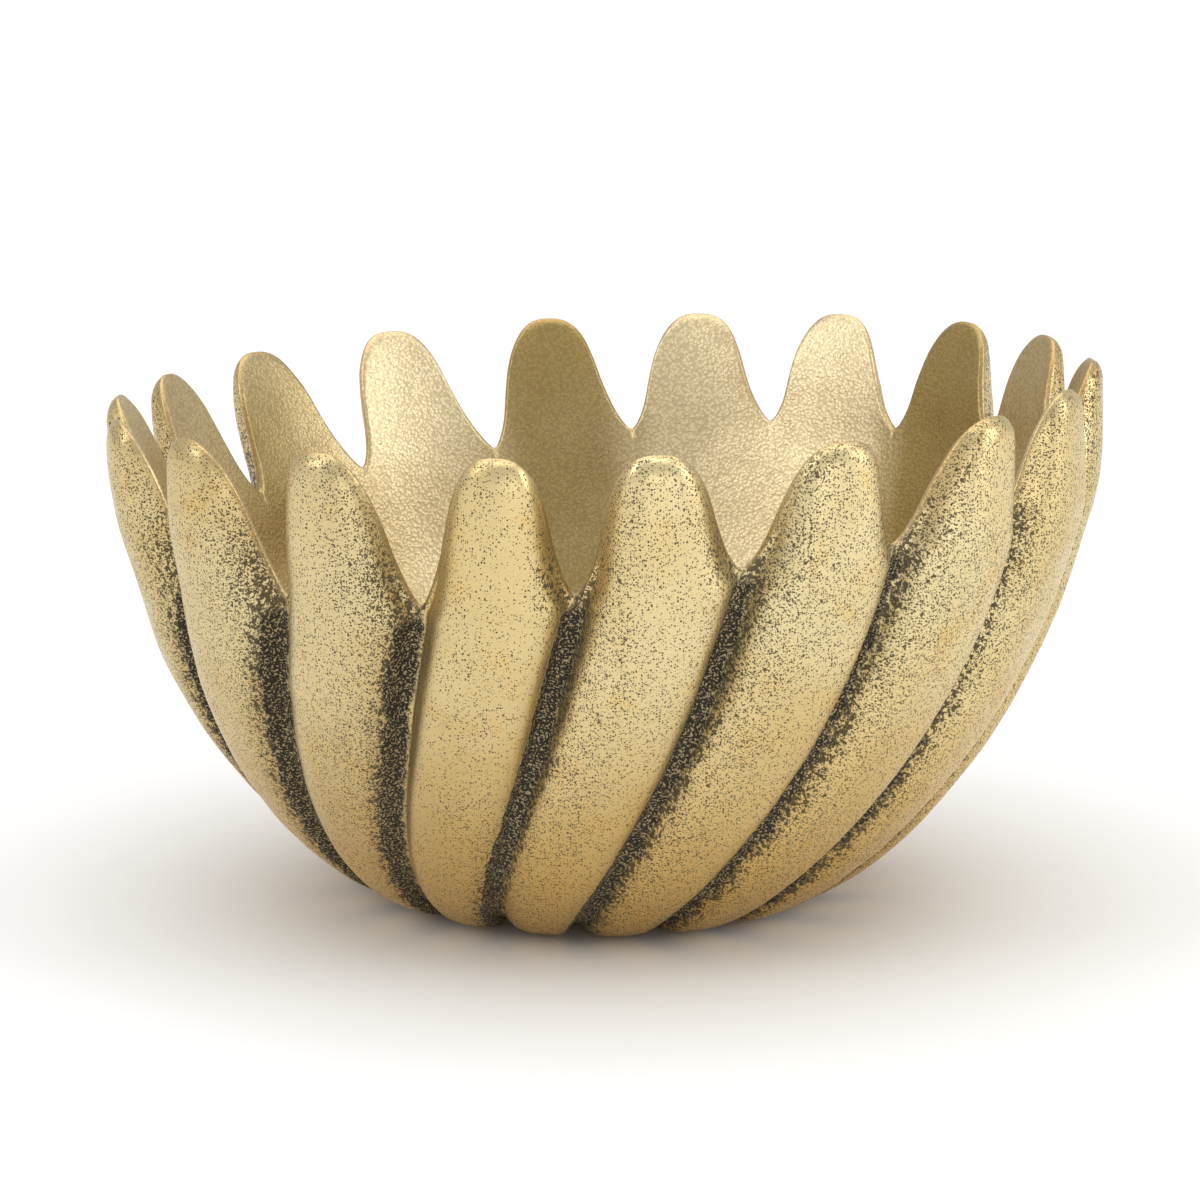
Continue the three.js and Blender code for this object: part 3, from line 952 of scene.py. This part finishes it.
def pad_material():
    g = Graph("pad_rubber")
    spot = g.position()
    mottle = g.noise(spot, 0.003, 3)
    dust = g.ramp(g.noise(spot, 0.0006, 3, 0.6), 0.6, 0.7)
    colour = g.blend(mottle, PAD_GREY, PAD_GREY_PALE)
    colour = g.blend(g.times(dust, 0.4), colour, PAD_DUST)
    g.put(g.shader.inputs["Base Color"], colour)
    g.put(g.shader.inputs["Roughness"], g.ramp(mottle, 0.3, 0.7, 0.6, 0.8))
    g.put(g.shader.inputs["Normal"], g.bump(g.noise(spot, 0.0005, 2), PAD_RELIEF))
    return g.material


def floor_material():
    g = Graph("studio_floor")
    spot = g.position()
    shade = g.noise(spot, 0.4, 2)
    g.put(g.shader.inputs["Base Color"], g.blend(shade, FLOOR_GREY, FLOOR_GREY_PALE))
    g.put(g.shader.inputs["Roughness"], 0.9)
    return g.material


# ---------------------------------------------------------------- pads

PAD_SIDES = 64
PAD_ROUND = 0.6  # radius of the rounded lower edge of a pad, millimetres
PAD_ROUND_STEPS = 6
PAD_WIDEST = 0.7  # share of a pad's height where its side is widest
PAD_TOP = 0.985  # radius at its top, as a share of the widest


def make_pad(node, material):
    """A soft round pad in the place of its CAD solid, with a rounded lower edge and a slight bulge."""
    low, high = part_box(node)
    middle = (low + high) / 2
    radius = (high.x - low.x) / 2
    tall = high.z - low.z
    rounded = PAD_ROUND * MM
    profile = []
    for step in range(PAD_ROUND_STEPS + 1):
        turn = math.pi / 2 * step / PAD_ROUND_STEPS
        profile.append((radius - rounded + rounded * math.sin(turn), rounded * (1 - math.cos(turn))))
    profile.append((radius, tall * PAD_WIDEST))
    profile.append((radius * PAD_TOP, tall))
    verts = []
    for r, z in profile:
        for side in range(PAD_SIDES):
            turn = 2 * math.pi * side / PAD_SIDES
            verts.append((middle.x + r * math.cos(turn), middle.y + r * math.sin(turn), low.z + z))
    faces = []
    for ring in range(len(profile) - 1):
        for side in range(PAD_SIDES):
            after = (side + 1) % PAD_SIDES
            a = ring * PAD_SIDES + side
            b = ring * PAD_SIDES + after
            faces.append((a, b, b + PAD_SIDES, a + PAD_SIDES))
    top = (len(profile) - 1) * PAD_SIDES
    faces.append(tuple(range(PAD_SIDES - 1, -1, -1)))
    faces.append(tuple(range(top, top + PAD_SIDES)))
    mesh = bpy.data.meshes.new("soft_" + node)
    mesh.from_pydata(verts, [], faces)
    mesh.update()
    mesh.polygons.foreach_set("use_smooth", [len(face) == 4 for face in faces])
    mesh.materials.append(material)
    pad = bpy.data.objects.new("soft_" + node, mesh)
    bpy.context.scene.collection.objects.link(pad)
    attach(pad, "root")
    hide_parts(node)


# ---------------------------------------------------------------- the object

casting = make_casting()
casting.data.materials.append(brass_material())
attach(casting, "root")
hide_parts("bowl_casting")

rubber = pad_material()
for pad_node in sorted(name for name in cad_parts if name.startswith("foot_pad")):
    make_pad(pad_node, rubber)


# ---------------------------------------------------------------- studio

scene = bpy.context.scene
scene.view_settings.view_transform = "Standard"
scene.view_settings.look = "None"
scene.view_settings.exposure = 0
scene.view_settings.gamma = 1

FLOOR_REACH = 9.0

WORLD_STRENGTH = 0.74
OVERHEAD_STRENGTH = 1.3
OVERHEAD_ANGLE = 75
OVERHEAD_TILT = -8

CAMERA_ELEVATION = 12
CAMERA_DISTANCE = 1.0694
CAMERA_LENS = 135.06
CAMERA_SHIFT = 0.0301
CAMERA_SENSOR = 36
CAMERA_CLIP = 50
TARGET_HEIGHT = 0.4737  # where the camera looks, as a share of the bowl's height


def make_floor():
    bpy.ops.mesh.primitive_grid_add(x_subdivisions=2, y_subdivisions=2, size=2 * FLOOR_REACH)
    floor = bpy.context.object
    floor.name = "studio_floor"
    floor.data.materials.append(floor_material())


def aim(item, target):
    item.rotation_euler = (Vector(target) - item.location).to_track_quat("-Z", "Y").to_euler()


def softbox(name, place, target, width, height, power):
    data = bpy.data.lights.new(name, "AREA")
    data.shape = "RECTANGLE"
    data.size = width
    data.size_y = height
    data.energy = power
    box = bpy.data.objects.new(name, data)
    box.location = place
    scene.collection.objects.link(box)
    aim(box, target)


def overhead():
    """A broad even light from above that leaves only soft shadows."""
    data = bpy.data.lights.new("overhead", "SUN")
    data.energy = OVERHEAD_STRENGTH
    data.angle = math.radians(OVERHEAD_ANGLE)
    lamp = bpy.data.objects.new("overhead", data)
    lamp.rotation_euler = (math.radians(OVERHEAD_TILT), 0, 0)
    scene.collection.objects.link(lamp)


def make_world():
    world = bpy.data.worlds.new("studio")
    world.use_nodes = True
    background = world.node_tree.nodes["Background"]
    background.inputs["Color"].default_value = (1, 1, 1, 1)
    background.inputs["Strength"].default_value = WORLD_STRENGTH
    scene.world = world


def make_camera():
    low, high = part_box("bowl_casting")
    target = Vector((0, 0, TARGET_HEIGHT * (low.z + high.z)))
    tilt = math.radians(CAMERA_ELEVATION)
    data = bpy.data.cameras.new("camera")
    data.lens = CAMERA_LENS
    data.sensor_width = CAMERA_SENSOR
    data.shift_y = CAMERA_SHIFT
    data.clip_end = CAMERA_CLIP
    camera = bpy.data.objects.new("camera", data)
    camera.location = target + CAMERA_DISTANCE * Vector((0, -math.cos(tilt), math.sin(tilt)))
    camera.rotation_euler = (math.pi / 2 - tilt, 0, 0)
    scene.collection.objects.link(camera)
    scene.camera = camera


make_floor()
make_world()
make_camera()
softbox("key_left", (-1.35, -0.75, 1.1), (0, 0, 0.06), 0.6, 1.0, 5)
softbox("key_right", (1.55, -0.45, 0.7), (0, 0, 0.06), 0.6, 1.2, 6.5)
softbox("fill_front", (0.5, -1.9, 0.2), (0, 0, 0.03), 1.6, 0.3, 2.5)
overhead()
